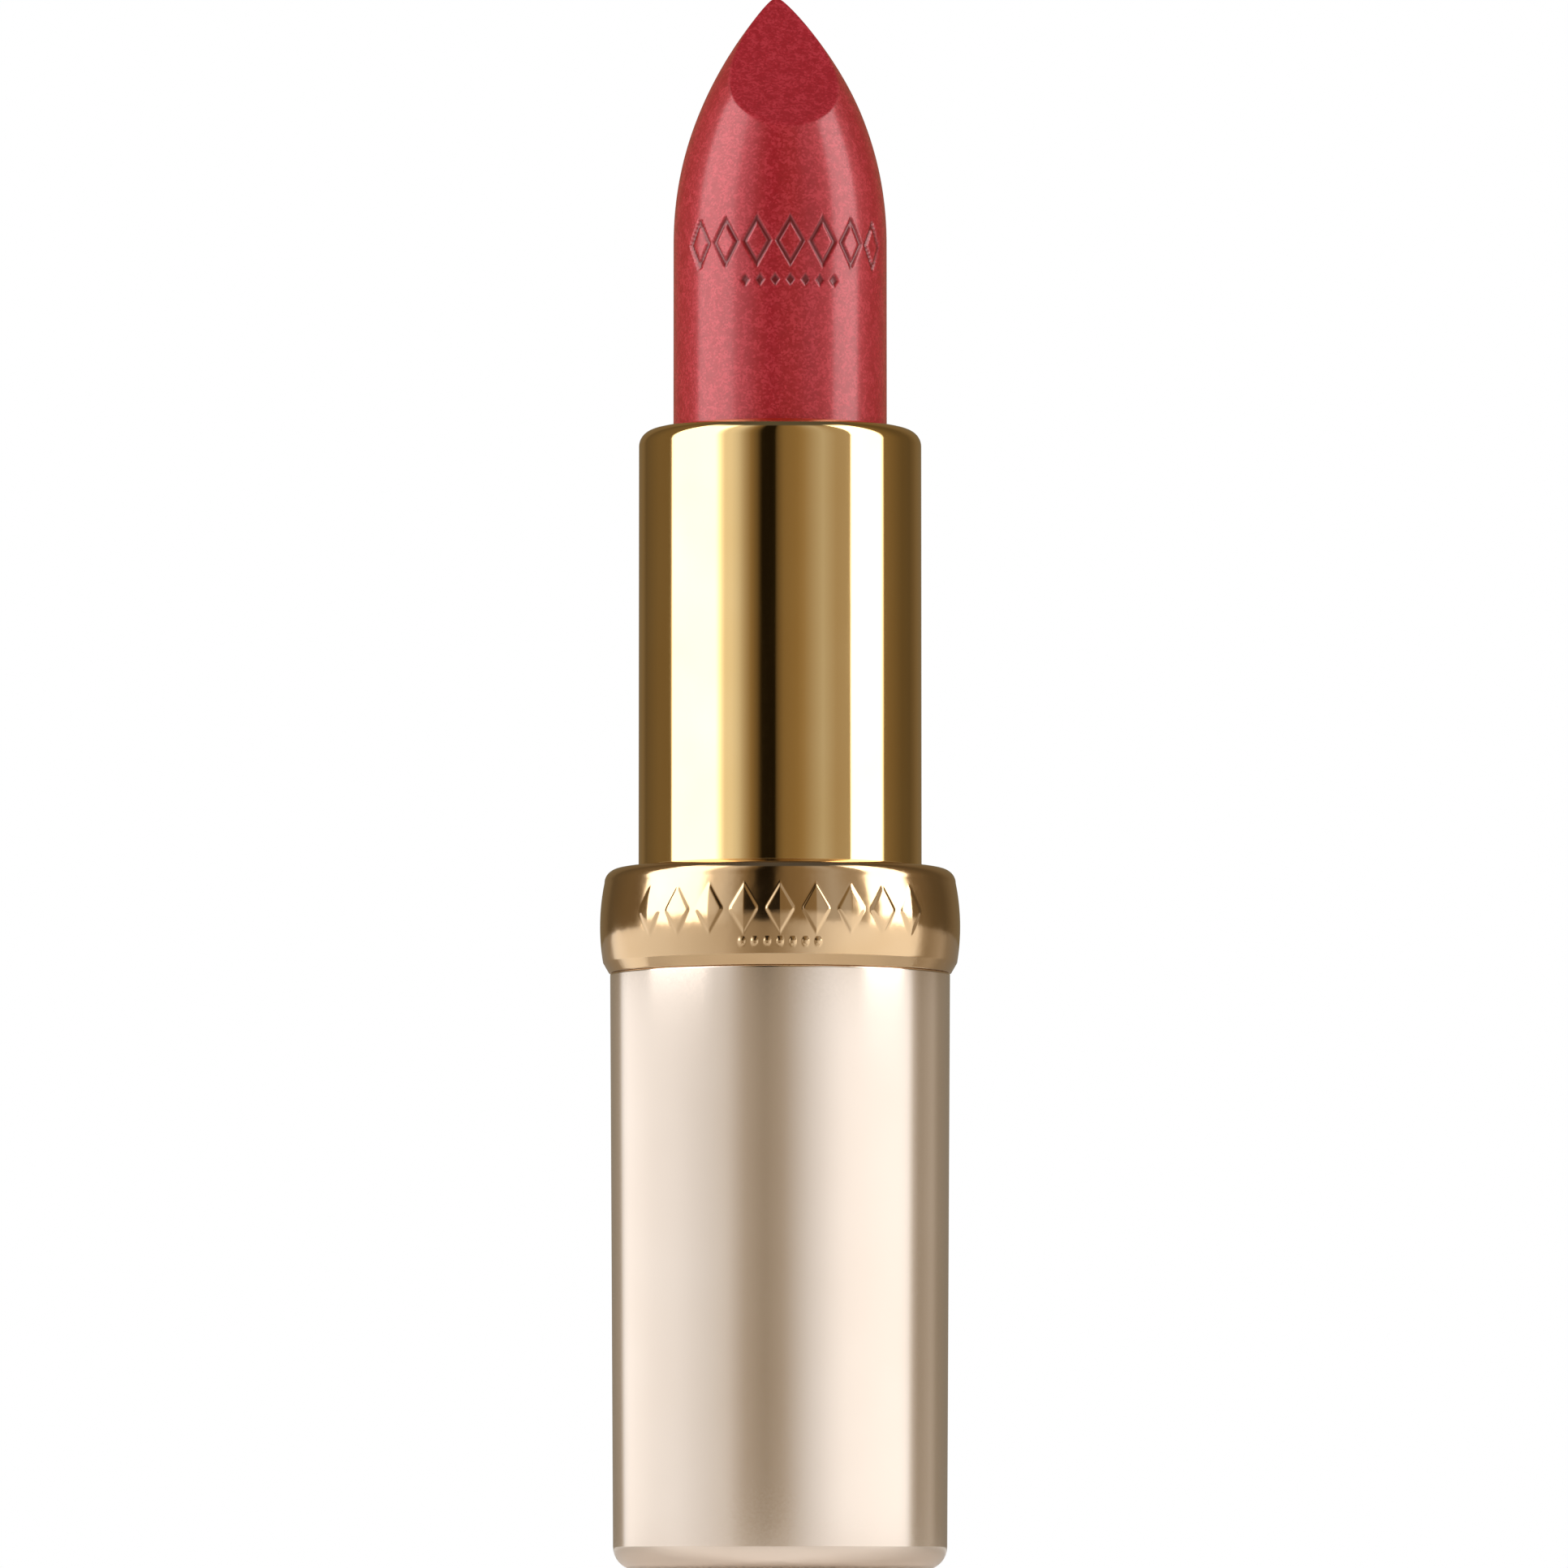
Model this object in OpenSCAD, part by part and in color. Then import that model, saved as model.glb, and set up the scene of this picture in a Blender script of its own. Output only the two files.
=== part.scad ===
// Twist-up lipstick case, open and fully raised.
// Millimetres, +Z up, the foot of the base on z = 0, slanted face of the bullet toward -Y.
// Turning the sleeve on the base drives two lugs down a two-start helical groove.

// Sub-part to output, or all of them

/* [Base] */
// Height of the base shell, floor to the underside of the collar
base_h = 33.6; // [28:0.1:42]
// How far the base shell stands out past the sleeve at its top, on each side
base_step = 1.6; // [1.3:0.01:2.4]
// Loss of radius from the top of the base shell to its foot
base_taper = 0.2; // [0:0.01:0.25]
// Radius of the rounded edge at the foot
foot_r = 1.3; // [1:0.05:1.6]
// Thickness of the base shell's wall at its top
shell_t = 0.6; // [0.5:0.05:0.8]
// Thickness of the base shell's floor
floor_t = 0.5; // [0.4:0.05:0.8]
// Height of the metal weight in the base
weight_h = 6; // [3:0.5:8]
// Diameter of the round label under the foot
label_d = 12.8; // [8:0.2:14]

/* [Collar] */
// Height of the collar ring that shows
collar_h = 5.9; // [4.5:0.1:8]
// How far the barrel of the collar stands out past the base shell
collar_bulge = 0.58; // [0.3:0.02:0.9]
// Radius of the barrel curve seen from the side
barrel_r = 12.3; // [8:0.1:20]
// Radius of the collar's top edge
collar_edge_r = 0.8; // [0.4:0.05:1]
// Length of the collar's skirt inside the base shell
skirt_h = 3.4; // [2:0.1:5]
// Height of the raised lozenges above the barrel
ornament_t = 0.1; // [0.05:0.01:0.2]
// Width of one lozenge
lozenge_w = 1.7; // [1:0.1:1.9]
// Height of one lozenge
lozenge_h = 2.9; // [1.5:0.1:3.4]
// Angle between lozenges, degrees
lozenge_pitch = 11.5; // [10.5:0.5:20]

/* [Sleeve] */
// Length of the sleeve that shows above the collar
sleeve_h = 24.9; // [20:0.1:31]
// Wall of the drawn metal sleeve
sleeve_t = 0.35; // [0.25:0.05:0.5]
// Outside radius of the rounded shoulder
shoulder_r = 0.9; // [0.7:0.02:1.2]
// Space between the in-turned lip and the bullet
lip_gap = 0.3; // [0.15:0.05:0.4]

/* [Bullet] */
// Diameter of the lipstick bullet
bullet_d = 12.1; // [9.8:0.1:14.6]
// Length of bullet above the sleeve when fully raised
bullet_out = 25.1; // [20:0.1:31]
// Length of the nose
nose_l = 14; // [11:0.5:17]
// Lean of the nose toward the back, degrees
nose_lean = 7.5; // [0:0.5:10]
// Radius of the hollow slanted face
face_r = 45; // [30:1:60]
// Depth of the slanted face below the tip, at the front
face_h = 8.2; // [6:0.1:9]
// Turn of the bullet in its cup, degrees
bullet_turn = 5.5; // [0:0.5:45]

/* [Mechanism] */
// Wall of the elevator cup
cup_t = 0.45; // [0.35:0.05:0.6]
// Height of the elevator cup
cup_h = 9; // [7:0.5:11]
// Thickness of the cup's floor
cup_floor = 0.8; // [0.6:0.1:1.2]
// How far the cup's top stays below the rim when raised
cup_drop = 1.3; // [1.1:0.1:2]
// How far the grip ribs in the cup bite into the bullet
rib_h = 0.15; // [0.1:0.05:0.3]
// Wall of the slotted guide tube
guide_t = 0.48; // [0.4:0.02:0.6]
// Wall of the guide tube below its ledge, where the drag ring sits
guide_low_t = 1.45; // [1.2:0.05:1.8]
// Thickness of the thrust flange under the turning parts
flange_t = 1.2; // [0.8:0.1:2]
// Wall of the cam tube
cam_t = 0.53; // [0.45:0.01:0.7]
// Depth of the helical groove in the cam tube
groove_depth = 0.36; // [0.3:0.01:0.4]
// Turns of the sleeve from raised to lowered
turns = 1.5; // [1.2:0.05:1.8]
// Diameter of the lugs on the cup
lug_d = 1.5; // [1.2:0.05:1.8]
// Height of the guide's ribbed foot
foot_h = 8; // [5:0.5:9]
// Radius of the snap bead that holds the cam tube on the guide
bead_r = 0.3; // [0.2:0.02:0.34]
// Radius of the drag ring's section
ring_r = 0.39; // [0.3:0.01:0.45]

/* [Clearances] */
// Radial gap where the cam tube and the sleeve turn
run_gap = 0.07; // [0.03:0.01:0.1]
// Radial gap where the cup slides in the guide, and lugs in their slots
slide_gap = 0.07; // [0.03:0.01:0.1]
// Axial gap under the cam tube and under the sleeve
thrust_gap = 0.05; // [0.02:0.01:0.1]
// Gap round a lug inside the helical groove
groove_gap = 0.06; // [0.03:0.01:0.1]
// Radial gap between the drag ring and the cam tube it rubs on
ring_gap = 0.01; // [0.01:0.01:0.03]
// Radial gap round the weight, and between the label and its recess
slip_gap = 0.05; // [0.02:0.01:0.1]
// Radial gap between a lug's end and the bottom of the groove
lug_tip_gap = 0.1; // [0.08:0.01:0.12]
// How far the tip sinks below the rim when lowered
tip_sink = 0.55; // [0.2:0.05:1]

/* [Hidden] */
$fn = 96;

// Radii, from the bullet outward
bullet_r = bullet_d / 2;
cup_r = bullet_r + cup_t;
guide_bore = cup_r + slide_gap;
guide_r = guide_bore + guide_t;
cam_bore = guide_r + run_gap;
ring_mid_r = cam_bore - ring_gap - ring_r;
cam_r = cam_bore + cam_t;
sleeve_r = cam_r + sleeve_t;
collar_bore = cam_r + run_gap;
lip_r = bullet_r + lip_gap;
base_top_r = sleeve_r + base_step;
base_foot_r = base_top_r - base_taper;
shell_bore = base_top_r - shell_t;
liner_bore = sleeve_r + 0.3;
liner_low_t = 1.25;
liner_ledge = 0.7;
weight_r = shell_bore - liner_low_t - slip_gap;
collar_r = base_top_r + collar_bulge;

// Heights
collar_top = base_h + collar_h;
rim = collar_top + sleeve_h;
tip = rim + bullet_out;
travel = bullet_out + tip_sink;
lead = travel / turns;
cup_z = rim - cup_drop - cup_h;
lug_lift = 0.65;
lug_z = cup_z + lug_lift + lug_d / 2;
ledge_gap = 0.35;
ledge_z = cup_z - travel - ledge_gap;
bead_z = ledge_z - 1;
ring_z = bead_z - 1.9;
flange_z = ring_z - 1.8;
guide_z = flange_z - flange_t - foot_h;
turn_z = flange_z + thrust_gap;
sleeve_z = collar_top + thrust_gap;
cam_top = rim - shoulder_r - 0.04;
guide_top = rim - 1;
liner_top = base_h - skirt_h;
liner_floor_t = 1;
weight_top = floor_t + weight_h;

// Inside corner of the base shell, and the recess for the label
inner_r = 0.8;
label_t = 0.1;
recess_h = label_t + slip_gap;

// Plain ring between two radii
module tube(outer, inner, z0, z1) {
  translate([0, 0, z0])
    difference() {
      cylinder(r = outer, h = z1 - z0);
      translate([0, 0, -1])
        cylinder(r = inner, h = z1 - z0 + 2);
    }
}

// Drawn aluminium cup: tapered wall, rounded foot, shallow recess for the label
module base_shell() {
  color([0.86, 0.76, 0.66])
    difference() {
      rotate_extrude()
        union() {
          polygon([
            [0, 0],
            [base_foot_r - foot_r, 0],
            [base_foot_r, foot_r],
            [base_top_r, base_h],
            [0, base_h],
          ]);
          intersection() {
            translate([base_foot_r - foot_r, foot_r])
              circle(r = foot_r);
            translate([base_foot_r - foot_r, 0])
              square([foot_r, foot_r]);
          }
        }
      rotate_extrude()
        union() {
          translate([0, floor_t])
            square([shell_bore - inner_r, 2 * inner_r]);
          translate([0, floor_t + inner_r])
            square([shell_bore, base_h]);
          translate([shell_bore - inner_r, floor_t + inner_r])
            circle(r = inner_r);
        }
      translate([0, 0, -1])
        cylinder(r = label_d / 2 + slip_gap, h = 1 + recess_h);
    }
}

// Blank round label, stuck in the recess under the foot
module base_label() {
  color([0.93, 0.91, 0.86])
    translate([0, 0, recess_h - label_t])
      cylinder(d = label_d, h = label_t);
}

// Turned slug that gives the base its heft
module base_weight() {
  color([0.55, 0.56, 0.58])
    translate([0, 0, floor_t])
      cylinder(r = weight_r, h = weight_h);
}

// Moulded liner: skirt round the weight, floor, ledge and bore for the guide's foot
module base_liner() {
  color([0.2, 0.2, 0.21])
    rotate_extrude()
      difference() {
        translate([0, floor_t + inner_r])
          square([shell_bore, liner_top - floor_t - inner_r]);
        translate([-1, 0])
          square([shell_bore - liner_low_t + 1, weight_top]);
        translate([-1, weight_top + liner_floor_t])
          square([liner_bore - liner_ledge + 1, liner_top]);
        translate([-1, guide_z])
          square([liner_bore + 1, liner_top]);
      }
}

// Half section of the collar, its barrel curve grown outward by a small amount
module collar_section(grow) {
  edge_x = base_top_r + 0.3 - collar_edge_r;
  foot_x = base_top_r + 0.06;
  chamfer_h = 0.6;
  widest_z = base_h + 0.45 * collar_h;
  intersection() {
    translate([collar_r - barrel_r, widest_z])
      circle(r = barrel_r + grow);
    union() {
      polygon([
        [collar_bore, base_h],
        [foot_x, base_h],
        [collar_r + grow, base_h + chamfer_h],
        [collar_r + grow, collar_top - collar_edge_r],
        [collar_bore, collar_top - collar_edge_r],
      ]);
      translate([collar_bore, widest_z])
        square([edge_x - collar_bore, collar_top - widest_z]);
      translate([edge_x, collar_top - collar_edge_r])
        circle(r = collar_edge_r);
    }
  }
}

// Lozenge-shaped bar that runs outward from the axis, at a given azimuth from the front
module lozenge(az) {
  w = lozenge_w / 2;
  h = lozenge_h / 2;
  rotate([0, 0, az])
    translate([0, 0, base_h + 0.53 * collar_h])
      rotate([90, 0, 0])
        linear_extrude(height = collar_r + 1)
          polygon([[-w, 0], [0, -h], [w, 0], [0, h]]);
}

// Metallised ring with a plain row of raised lozenges; the cam tube runs in its bore
module collar_ring() {
  color([0.80, 0.66, 0.47])
    union() {
      rotate_extrude()
        union() {
          collar_section(0);
          translate([collar_bore, liner_top])
            square([shell_bore - collar_bore, skirt_h + collar_edge_r]);
        }
      intersection() {
        rotate_extrude()
          difference() {
            collar_section(ornament_t);
            square([base_top_r, rim]);
          }
        for (i = [-4:4]) {
          lozenge(i * lozenge_pitch);
        }
      }
    }
}

// Slotted guide: ribbed foot pressed in the liner, thrust face, ring groove, snap bead
module guide_tube() {
  foot_rib_h = 0.2;
  foot_rib_w = 0.8;
  color([0.88, 0.88, 0.86])
    difference() {
      union() {
        translate([0, 0, guide_z])
          cylinder(r = liner_bore - foot_rib_h, h = flange_z - guide_z);
        intersection() {
          translate([0, 0, guide_z])
            cylinder(r = liner_bore, h = foot_h);
          for (i = [0:7]) {
            rotate([0, 0, i * 22.5])
              translate([-liner_bore - 1, -foot_rib_w / 2, guide_z])
                cube([2 * liner_bore + 2, foot_rib_w, foot_h]);
          }
        }
        translate([0, 0, guide_z])
          cylinder(r = guide_r, h = guide_top - guide_z);
        rotate_extrude()
          translate([guide_r, bead_z])
            circle(r = bead_r);
      }
      translate([0, 0, guide_z - 1])
        cylinder(r = guide_r - guide_low_t, h = ledge_z - guide_z + 2);
      translate([0, 0, ledge_z])
        cylinder(r = guide_bore, h = rim);
      tube(guide_r + 0.5, ring_mid_r - ring_r, ring_z - ring_r - slip_gap, ring_z + ring_r + slip_gap);
      lug_slots();
    }
}

// Two straight slots that keep the cup from turning
module lug_slots() {
  slot_r = lug_d / 2 + slide_gap;
  end_gap = 0.1;
  low = lug_z - travel - end_gap;
  high = lug_z + end_gap;
  for (side = [0, 180]) {
    rotate([0, 0, side]) {
      translate([guide_bore - 0.5, -slot_r, low])
        cube([guide_t + 1, 2 * slot_r, high - low]);
      for (z = [low, high]) {
        translate([guide_bore - 0.5, 0, z])
          rotate([0, 90, 0])
            cylinder(r = slot_r, h = guide_t + 1);
      }
    }
  }
}

// Elastic ring that drags on the cam tube and keeps the bullet where it was left
module drag_ring() {
  color([0.15, 0.15, 0.16])
    rotate_extrude()
      translate([ring_mid_r, ring_z])
        circle(r = ring_r);
}

// One start of the helical groove, swept as a solid to cut away
module groove(start_az) {
  over = 8;
  step = 6;
  half = (lug_d / 2 + groove_gap) / cos(atan(lead / (2 * PI * cam_bore)));
  n = round((360 * turns + 2 * over) / step);
  first = -360 * turns - over;
  d_az = (360 * turns + 2 * over) / n;
  inner = cam_bore - 0.3;
  outer = cam_bore + groove_depth;
  pts = [
    for (i = [0:n])
      let (az = first + i * d_az, z = lug_z + lead * az / 360)
        for (c = [[inner, -half], [outer, -half], [outer, half], [inner, half]])
          [c[0] * cos(az + start_az), c[0] * sin(az + start_az), z + c[1]],
  ];
  sides = [
    for (i = [0:n - 1])
      for (k = [0:3])
        for (t = [0, 1])
          let (a = 4 * i + k, b = 4 * i + (k + 1) % 4)
            t == 0 ? [a, b, a + 4] : [b, b + 4, a + 4],
  ];
  caps = [[3, 2, 1, 0], [4 * n, 4 * n + 1, 4 * n + 2, 4 * n + 3]];
  polyhedron(points = pts, faces = concat(sides, caps), convexity = 10);
}

// Cam tube glued in the sleeve: two-start helical groove and a groove for the snap bead
module cam_tube() {
  color([0.78, 0.78, 0.74])
    difference() {
      tube(cam_r, cam_bore, turn_z, cam_top);
      rotate_extrude()
        translate([guide_r, bead_z])
          circle(r = bead_r + run_gap);
      groove(0);
      groove(180);
    }
}

// Polished drawn sleeve over the cam tube: rounded shoulder and in-turned lip
module sleeve() {
  corner = sleeve_r - shoulder_r;
  shoulder_z = rim - shoulder_r;
  color([0.83, 0.65, 0.36])
    rotate_extrude()
      difference() {
        union() {
          translate([lip_r, sleeve_z])
            square([sleeve_r - lip_r, shoulder_z - sleeve_z]);
          translate([lip_r, sleeve_z])
            square([corner - lip_r, rim - sleeve_z]);
          translate([corner, shoulder_z])
            circle(r = shoulder_r);
        }
        translate([0, sleeve_z - 1])
          square([cam_r, shoulder_z - sleeve_z + 1]);
        translate([0, shoulder_z - 1])
          square([corner, shoulder_r + 1 - sleeve_t]);
        translate([corner, shoulder_z])
          circle(r = shoulder_r - sleeve_t);
      }
}

// Cup that carries the bullet, with two lugs through the guide into the cam groove
module elevator_cup() {
  lug_tip = cam_bore + groove_depth - lug_tip_gap;
  rib_w = 0.6;
  color([0.9, 0.9, 0.88])
    union() {
      difference() {
        translate([0, 0, cup_z])
          cylinder(r = cup_r, h = cup_h);
        translate([0, 0, cup_z + cup_floor])
          cylinder(r = bullet_r, h = cup_h);
      }
      intersection() {
        tube(cup_r, bullet_r - rib_h, cup_z, cup_z + 0.7 * cup_h);
        for (az = [45, 135]) {
          rotate([0, 0, az])
            translate([-cup_r, -rib_w / 2, cup_z])
              cube([2 * cup_r, rib_w, cup_h]);
        }
      }
      for (side = [0, 180]) {
        rotate([0, 0, side])
          difference() {
            translate([0, 0, lug_z])
              rotate([0, 90, 0])
                cylinder(d = lug_d, h = lug_tip);
            cylinder(r = bullet_r, h = rim);
          }
      }
    }
}

// Moulded bullet: plain shank, curved nose leaning back, hollow slanted face at the front
module bullet() {
  tip_r = 0.37;
  tip_flat = 0.3;
  face_low = 0.836;
  drop = bullet_r - tip_r;
  arc = (drop * drop + nose_l * nose_l) / (2 * drop);
  nose_z = tip - nose_l;
  low_z = tip - face_h;
  low_y = -bullet_r * face_low;
  top_y = nose_l * sin(nose_lean) + tip_flat;
  dy = top_y - low_y;
  chord = sqrt(dy * dy + face_h * face_h);
  away = sqrt(face_r * face_r - chord * chord / 4);
  face_y = (low_y + top_y) / 2 - away * face_h / chord;
  face_z = (low_z + tip) / 2 + away * dy / chord;
  color([0.68, 0.16, 0.20])
    rotate([0, 0, bullet_turn])
      difference() {
        union() {
          translate([0, 0, cup_z + cup_floor])
            cylinder(r = bullet_r, h = nose_z - cup_z - cup_floor);
          intersection() {
            translate([0, 0, nose_z])
              cylinder(r = bullet_r, h = nose_l);
            translate([0, 0, nose_z])
              rotate([-nose_lean, 0, 0])
                rotate_extrude()
                  intersection() {
                    translate([0, -2])
                      square([bullet_r, nose_l + 3]);
                    translate([bullet_r - arc, 0])
                      circle(r = arc);
                  }
          }
        }
        translate([-bullet_r - 1, face_y, face_z])
          rotate([0, 90, 0])
            cylinder(r = face_r, h = bullet_d + 2);
      }
}

base_shell();
base_label();
base_weight();
base_liner();
collar_ring();
guide_tube();
drag_ring();
cam_tube();
sleeve();
elevator_cup();
bullet();
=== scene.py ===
import math
import bpy
import numpy as np
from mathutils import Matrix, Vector


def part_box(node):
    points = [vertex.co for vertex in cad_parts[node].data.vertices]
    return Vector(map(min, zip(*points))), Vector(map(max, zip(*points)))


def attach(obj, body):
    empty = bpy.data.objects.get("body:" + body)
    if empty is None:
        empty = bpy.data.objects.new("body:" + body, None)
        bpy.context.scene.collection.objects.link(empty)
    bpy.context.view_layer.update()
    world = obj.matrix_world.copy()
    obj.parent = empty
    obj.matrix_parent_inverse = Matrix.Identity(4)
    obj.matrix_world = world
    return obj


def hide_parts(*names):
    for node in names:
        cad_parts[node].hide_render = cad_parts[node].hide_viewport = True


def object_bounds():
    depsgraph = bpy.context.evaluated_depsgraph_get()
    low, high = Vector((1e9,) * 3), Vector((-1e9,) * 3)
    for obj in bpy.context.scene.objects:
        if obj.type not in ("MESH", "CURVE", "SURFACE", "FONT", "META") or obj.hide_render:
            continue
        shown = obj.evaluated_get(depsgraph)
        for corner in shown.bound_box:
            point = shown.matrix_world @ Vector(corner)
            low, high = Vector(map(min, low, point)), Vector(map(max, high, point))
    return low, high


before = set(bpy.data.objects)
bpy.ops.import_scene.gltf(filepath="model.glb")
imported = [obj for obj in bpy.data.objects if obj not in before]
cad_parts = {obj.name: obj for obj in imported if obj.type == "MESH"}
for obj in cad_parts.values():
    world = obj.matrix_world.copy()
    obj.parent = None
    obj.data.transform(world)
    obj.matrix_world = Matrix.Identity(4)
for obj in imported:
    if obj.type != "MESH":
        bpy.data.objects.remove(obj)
cadLow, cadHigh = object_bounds()
mm = 0.001
print("frame loaded:", len(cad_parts), "nodes")


# ---- shapes

def putMesh(name, points, faces):
    # a smooth-shaded object from a point array and lists of faces
    mesh = bpy.data.meshes.new(name)
    mesh.from_pydata(points.tolist(), [], faces)
    mesh.polygons.foreach_set("use_smooth", np.ones(len(mesh.polygons), bool))
    mesh.update()
    piece = bpy.data.objects.new(name, mesh)
    bpy.context.scene.collection.objects.link(piece)
    return piece


def gridFaces(rows, columns, closedRows=False):
    # quads of a grid whose columns go round, row by row outward; closedRows joins last row to first
    r = np.arange(rows if closedRows else rows - 1)
    c = np.arange(columns)
    here, ahead = r[:, None] * columns, (r[:, None] + 1) % rows * columns
    left, right = c[None, :], (c[None, :] + 1) % columns
    return np.stack([here + left, here + right, ahead + right, ahead + left], -1).reshape(-1, 4)


def capFaces(pole, ring, flip=False):
    # triangles from a pole's point to each edge of a ring of point numbers
    after = np.roll(ring, -1)
    ends = (after, ring) if flip else (ring, after)
    return np.stack([np.full(len(ring), pole), *ends], -1)


def outline(corners, closed=False, spacing=1.0):
    # path through (radius, height, fillet) corners in mm: each corner becomes an arc tangent to both sides,
    # and straight stretches get points near their ends, so that smooth shading stays flat between them
    pts = np.array([c[:2] for c in corners], float)
    count = len(pts)
    path = []
    for i, (*_, fillet) in enumerate(corners):
        inside = closed or 0 < i < count - 1
        here = pts[i]
        if not inside or fillet <= 0:
            path.append(here[None])
            continue
        u = pts[i - 1] - here
        v = pts[(i + 1) % count] - here
        u, v = u / np.linalg.norm(u), v / np.linalg.norm(v)
        half = math.acos(float(np.clip(u @ v, -1, 1))) / 2
        middle = here + (u + v) / np.linalg.norm(u + v) * fillet / math.sin(half)
        start = here + u * fillet / math.tan(half) - middle
        end = here + v * fillet / math.tan(half) - middle
        steps = max(3, int(math.degrees(math.pi - 2 * half) / 9))
        t = np.linspace(0, 1, steps + 1)[:, None]
        sweep = math.pi - 2 * half
        arc = (np.sin((1 - t) * sweep) * start + np.sin(t * sweep) * end) / math.sin(sweep)
        path.append(middle + arc)
    whole = []
    for i, part in enumerate(path):
        whole.append(part)
        if i + 1 == len(path) and not closed:
            break
        a, b = part[-1], path[(i + 1) % len(path)][0]
        length = np.linalg.norm(b - a)
        if length < 0.12:
            continue
        inner = np.linspace(0, 1, int(length / spacing) + 2)[1:-1]
        near = min(0.03 / length, 0.2)
        t = np.unique(np.concatenate([[near], inner, [1 - near]]))[:, None]
        whole.append(a + (b - a) * t)
    return np.concatenate(whole)


def lathe(name, path, columns=256, closed=False, angles=None, swell=None):
    # surface of revolution: (r cos a, r sin a, z) for every (r, z) of the path, in mm; swell(a, r, z)
    # adds to the radius; a path that starts and ends on the axis gets a pole at each end
    a = np.linspace(0, 2 * np.pi, columns, endpoint=False) if angles is None else angles
    onAxis = not closed and path[0][0] < 1e-6
    body = path[1:-1] if onAxis else path
    r = np.repeat(body[:, :1], len(a), 1)
    z = np.repeat(body[:, 1:], len(a), 1)
    turn = np.repeat(a[None, :], len(body), 0)
    if swell is not None:
        r = r + swell(turn, r, z)
    points = np.stack([r * np.cos(turn), r * np.sin(turn), z], -1).reshape(-1, 3)
    faces = gridFaces(len(body), len(a), closed).tolist()
    if onAxis:
        first, last = len(points), len(points) + 1
        ring = np.arange(len(a))
        points = np.concatenate([points, [[0, 0, path[0][1]], [0, 0, path[-1][1]]]])
        faces += capFaces(first, ring, flip=True).tolist()
        faces += capFaces(last, ring + (len(body) - 1) * len(a)).tolist()
    return putMesh(name, points * mm, faces)


def smoothStep(low, high, x):
    # 0 below low, 1 above high, with an even S between them
    t = np.clip((x - low) / (high - low), 0, 1)
    return t * t * (3 - 2 * t)


def lozengeEdge(across, up, width, height):
    # distance outside a lozenge's edge, negative inside: (|x|/w + |z|/h - 1) times its inner radius
    w, h = width / 2, height / 2
    return (np.abs(across) / w + np.abs(up) / h - 1) * w * h / math.hypot(w, h)


# ---- base shell

baseShell = {
    "wall": 0.6,        # mm, at the top
    "floor": 0.5,       # mm
    "footRound": 1.3,   # mm
    "insideRound": 0.8, # mm
    "taper": 0.2,       # mm of radius from top to foot
    "edge": 0.12,       # mm, broken edges
    "labelHole": 6.45,  # mm, radius of the recess for the label
    "labelDepth": 0.15, # mm
}


def makeBaseShell(s):
    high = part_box("base_shell")[1]
    top, height = high.x / mm, high.z / mm
    foot, bore = top - s["taper"], top - s["wall"]
    path = outline([
        (0, s["labelDepth"], 0),
        (s["labelHole"], s["labelDepth"], 0.03),
        (s["labelHole"], 0, 0.04),
        (foot, 0, s["footRound"]),
        (top, height, s["edge"]),
        (bore, height, s["edge"]),
        (bore, s["floor"], s["insideRound"]),
        (0, s["floor"], 0),
    ])
    shell = lathe("baseCup", path)
    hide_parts("base_shell")
    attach(shell, "base")
    return shell


# ---- collar

collarRing = {
    "skirt": 3.4,        # mm inside the base
    "bulge": 0.576,      # mm past the base
    "barrel": 12.3,      # mm, radius of the barrel curve
    "widest": 0.45,      # share of the height
    "topRound": 0.8,     # mm
    "topStep": 0.3,      # mm that the top face's edge stands out past the base
    "chamfer": 0.6,      # mm, height of the slope at the foot
    "chamferFoot": 0.2,  # mm of the skirt's radius left plain under the slope
    "runGap": 0.07,      # mm
    "raised": 0.098,     # mm, lozenges
    "raisedEdge": 0.45,  # share of that at once at a lozenge's edge, the rest slopes up
    "edgeWidth": 0.1,    # mm
    "slopeWidth": 0.7,   # mm
    "beadRise": 0.7,     # a bead's height, as a share of the lozenges'
    "lozenge": (1.7, 2.9),   # mm, width and height
    "pitch": 11.5,       # degrees
    "each": 4,           # lozenges to each side of the middle one
    "rowHeight": 0.53,   # share of the height
    "beads": 7,          # small beads under the lozenges
    "beadPitch": 0.72,   # mm
    "beadSize": 0.42,    # mm
    "beadRow": 0.215,    # share of the height
    "front": 0.72,       # how far the columns crowd toward the front
}


def frontAngles(columns, crowd):
    # angles round the axis that lie closer together at the front: f = u - crowd sin u, from the front (-Y)
    u = np.linspace(-np.pi, np.pi, columns, endpoint=False)
    return u - crowd * np.sin(u) - np.pi / 2


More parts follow.
